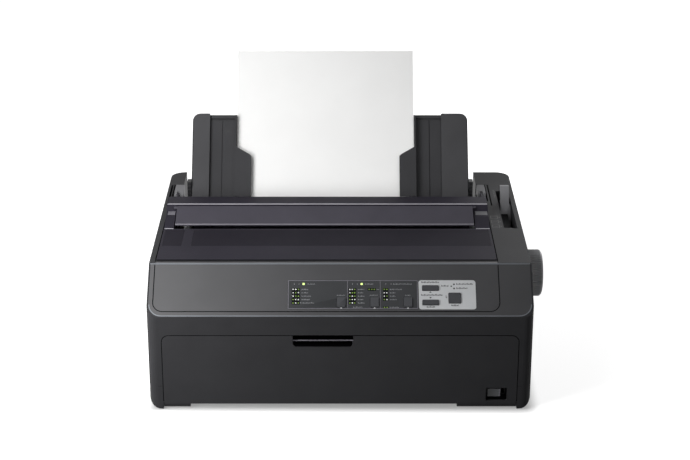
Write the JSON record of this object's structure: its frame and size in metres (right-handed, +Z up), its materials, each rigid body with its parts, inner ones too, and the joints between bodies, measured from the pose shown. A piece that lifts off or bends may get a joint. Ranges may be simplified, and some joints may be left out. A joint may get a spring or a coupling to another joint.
{
  "type": "dot matrix printer",
  "caption": "Desktop impact printer with a hinged smoked top cover, tilting paper guide, geared platen and tractors, sliding print carriage, sprung keys and fold-down front cover.",
  "frame": {"origin": "on the surface under the feet, at the middle of the bounding box in width and depth", "axes": "X to the right as seen from the front, Y to the rear, Z up; the front face looks towards -Y"},
  "size_m": [0.43, 0.3566, 0.2978],
  "materials": {
    "case": "fine grained charcoal moulding, satin",
    "cover": "smooth charcoal moulding with a faint violet cast",
    "flap": "fine grained dark grey moulding",
    "smoked_window": "smoked clear plastic, nearly black",
    "guide": "fine grained dark grey moulding",
    "hinge_grey": "plain grey moulding",
    "lever_grey": "plain grey moulding",
    "knob_grey": "satin grey moulding with fine ribs",
    "button": "satin dark caps",
    "dark_legend": "printed dark legend sheet",
    "light_legend": "printed silver grey legend sheet",
    "lamp": "small lamps, two of them lit yellow green",
    "switch_black": "smooth black moulding",
    "foot_rubber": "black rubber",
    "platen_rubber": "ground black rubber",
    "belt_rubber": "black belt",
    "screw_steel": "zinc plated screws",
    "sheet_steel": "zinc plated sheet",
    "bright_steel": "ground bright steel",
    "motor_steel": "dull plated motor can",
    "pan_plastic": "dark moulding",
    "tractor_plastic": "dark moulding",
    "cartridge": "black moulding",
    "ribbon_cloth": "inked woven ribbon",
    "gear_plastic": "natural white gear plastic",
    "pinion_brass": "turned brass",
    "head_aluminium": "cast head with heat-sink fins",
    "circuit_board": "green laminate with parts",
    "power_laminate": "brown laminate with parts",
    "socket_shell": "plated socket shells",
    "paper": "plain white sheet"
  },
  "bodies": {
    "chassis": {"lower_case": "case", "upper_case": "case", "rubber_feet": "foot_rubber", "case_screws": "screw_steel", "control_panel": "case", "status_overlay": "dark_legend", "command_overlay": "light_legend", "panel_board": "circuit_board", "indicator_leds": "lamp", "power_switch": "switch_black", "cover_hinge_posts": "hinge_grey", "base_frame": "sheet_steel", "left_side_frame": "sheet_steel", "right_side_frame": "sheet_steel", "paper_pan": "pan_plastic", "feed_motor": "motor_steel", "carriage_rail": "bright_steel", "guide_rail": "sheet_steel", "ribbon_cartridge": "cartridge", "ink_ribbon": "ribbon_cloth", "carriage_belt": "belt_rubber", "carriage_motor": "motor_steel", "tractor_rod": "bright_steel", "main_board": "circuit_board", "power_board": "power_laminate", "ac_inlet": "switch_black", "interface_ports": "socket_shell"},
    "front_door": {"front_cover": "case"},
    "font_key": {"font_button": "button"},
    "pitch_key": {"pitch_button": "button"},
    "tear_off_key": {"tear_off_button": "button"},
    "load_eject_key": {"load_eject_button": "button"},
    "line_feed_key": {"line_feed_button": "button"},
    "pause_key": {"pause_button": "button"},
    "rocker": {"power_rocker": "switch_black"},
    "top_lid": {"printer_cover": "cover", "cover_window": "smoked_window"},
    "flap": {"exit_flap": "flap"},
    "guide": {"paper_guide": "guide"},
    "left_edge": {"left_edge_guide": "guide"},
    "right_edge": {"right_edge_guide": "guide"},
    "sheet": {"paper_sheet": "paper"},
    "platen": {"platen_roller": "platen_rubber", "platen_shaft": "bright_steel", "platen_knob": "knob_grey", "platen_gear": "gear_plastic"},
    "idler_1": {"idler_gear_1": "gear_plastic"},
    "idler_2": {"idler_gear_2": "gear_plastic"},
    "idler_3": {"idler_gear_3": "gear_plastic"},
    "pinion": {"feed_pinion": "pinion_brass"},
    "tractor_drive": {"tractor_shaft": "bright_steel", "tractor_gear": "gear_plastic"},
    "left_tractor_unit": {"left_tractor": "tractor_plastic"},
    "right_tractor_unit": {"right_tractor": "tractor_plastic"},
    "print_carriage": {"carriage": "pan_plastic", "print_head": "head_aluminium"},
    "drive_wheel": {"drive_pulley": "gear_plastic"},
    "idle_wheel": {"idler_pulley": "gear_plastic"},
    "ribbon_wheel": {"ribbon_knob": "cartridge"},
    "lever": {"release_lever": "lever_grey"}
  },
  "joints": [
    {"name": "front_cover_hinge", "type": "hinge", "parent": "chassis", "child": "front_door", "pos_m": [-0.01, -0.17133, 0.008], "axis": [1, 0, 0], "range_deg": [0, 88]},
    {"name": "font_press", "type": "slide", "parent": "chassis", "child": "font_key", "axis": [0, 0.6294, -0.7771], "range_m": [0, 0.001], "stiffness_N_per_m": 300, "springref_m": -0.0005},
    {"name": "pitch_press", "type": "slide", "parent": "chassis", "child": "pitch_key", "axis": [0, 0.6294, -0.7771], "range_m": [0, 0.001], "stiffness_N_per_m": 300, "springref_m": -0.0005},
    {"name": "tear_off_press", "type": "slide", "parent": "chassis", "child": "tear_off_key", "axis": [0, 0.6294, -0.7771], "range_m": [0, 0.001], "stiffness_N_per_m": 300, "springref_m": -0.0005},
    {"name": "load_eject_press", "type": "slide", "parent": "chassis", "child": "load_eject_key", "axis": [0, 0.6294, -0.7771], "range_m": [0, 0.001], "stiffness_N_per_m": 300, "springref_m": -0.0005},
    {"name": "line_feed_press", "type": "slide", "parent": "chassis", "child": "line_feed_key", "axis": [0, 0.6294, -0.7771], "range_m": [0, 0.001], "stiffness_N_per_m": 300, "springref_m": -0.0005},
    {"name": "pause_press", "type": "slide", "parent": "chassis", "child": "pause_key", "axis": [0, 0.6294, -0.7771], "range_m": [0, 0.001], "stiffness_N_per_m": 300, "springref_m": -0.0005},
    {"name": "power_rocker_tilt", "type": "hinge", "parent": "chassis", "child": "rocker", "pos_m": [0.1576, -0.16033, 0.0191], "axis": [0, 0, -1], "range_deg": [0, 20]},
    {"name": "top_cover_hinge", "type": "hinge", "parent": "chassis", "child": "top_lid", "pos_m": [-0.01, 0.08567, 0.145], "axis": [-1, 0, 0], "range_deg": [0, 60]},
    {"name": "exit_flap_hinge", "type": "hinge", "parent": "top_lid", "child": "flap", "pos_m": [-0.01, 0.00917, 0.1605], "axis": [-1, 0, 0], "range_deg": [0, 105]},
    {"name": "guide_tilt", "type": "hinge", "parent": "chassis", "child": "guide", "pos_m": [-0.01, 0.07867, 0.143], "axis": [-1, 0, 0], "range_deg": [0, 20]},
    {"name": "left_edge_slide", "type": "slide", "parent": "guide", "child": "left_edge", "axis": [-1, 0, 0], "range_m": [0, 0.0145]},
    {"name": "right_edge_slide", "type": "slide", "parent": "guide", "child": "right_edge", "axis": [1, 0, 0], "range_m": [0, 0.024]},
    {"name": "sheet_slide", "type": "slide", "parent": "guide", "child": "sheet", "axis": [0, 0.5878, 0.809], "range_m": [0, 0.11]},
    {"name": "platen_turn", "type": "hinge", "parent": "chassis", "child": "platen", "pos_m": [-0.01, -0.06083, 0.11], "axis": [1, 0, 0], "continuous": true},
    {"name": "idler_1_turn", "type": "hinge", "parent": "chassis", "child": "idler_1", "pos_m": [-0.1927, -0.01583, 0.11], "axis": [1, 0, 0], "continuous": true},
    {"name": "idler_2_turn", "type": "hinge", "parent": "chassis", "child": "idler_2", "pos_m": [-0.1927, 0.03417, 0.11], "axis": [1, 0, 0], "continuous": true},
    {"name": "idler_3_turn", "type": "hinge", "parent": "chassis", "child": "idler_3", "pos_m": [-0.1927, 0.08417, 0.11], "axis": [1, 0, 0], "continuous": true},
    {"name": "pinion_turn", "type": "hinge", "parent": "chassis", "child": "pinion", "pos_m": [-0.1927, -0.01583, 0.079], "axis": [1, 0, 0], "continuous": true},
    {"name": "tractor_turn", "type": "hinge", "parent": "chassis", "child": "tractor_drive", "pos_m": [-0.01, 0.12317, 0.11], "axis": [1, 0, 0], "continuous": true},
    {"name": "left_tractor_slide", "type": "slide", "parent": "chassis", "child": "left_tractor_unit", "axis": [1, 0, 0], "range_m": [0, 0.05]},
    {"name": "right_tractor_slide", "type": "slide", "parent": "chassis", "child": "right_tractor_unit", "axis": [-1, 0, 0], "range_m": [0, 0.08]},
    {"name": "carriage_slide", "type": "slide", "parent": "chassis", "child": "print_carriage", "axis": [1, 0, 0], "range_m": [0, 0.222]},
    {"name": "drive_pulley_turn", "type": "hinge", "parent": "chassis", "child": "drive_wheel", "pos_m": [-0.174, -0.13233, 0.0845], "axis": [0, 0, 1], "range_deg": [-1500, 0]},
    {"name": "idle_pulley_turn", "type": "hinge", "parent": "chassis", "child": "idle_wheel", "pos_m": [0.131, -0.13233, 0.0845], "axis": [0, 0, 1], "range_deg": [-1500, 0]},
    {"name": "ribbon_knob_turn", "type": "hinge", "parent": "chassis", "child": "ribbon_wheel", "pos_m": [-0.162, -0.10433, 0.1395], "axis": [0, 0, 1], "continuous": true},
    {"name": "release_lever_swing", "type": "hinge", "parent": "chassis", "child": "lever", "pos_m": [0.1877, 0.02667, 0.092], "axis": [1, 0, 0], "range_deg": [0, 30]}
  ],
  "couplings": [
    {"joint": "idler_1_turn", "follows": "platen_turn", "ratio": -0.8},
    {"joint": "idler_2_turn", "follows": "platen_turn", "ratio": 0.8},
    {"joint": "idler_3_turn", "follows": "platen_turn", "ratio": -0.8},
    {"joint": "tractor_turn", "follows": "platen_turn", "ratio": 1.4286},
    {"joint": "pinion_turn", "follows": "platen_turn", "ratio": 3.3333},
    {"joint": "drive_pulley_turn", "follows": "carriage_slide", "rad_per_m": -116.28},
    {"joint": "idle_pulley_turn", "follows": "carriage_slide", "rad_per_m": -116.28}
  ]
}
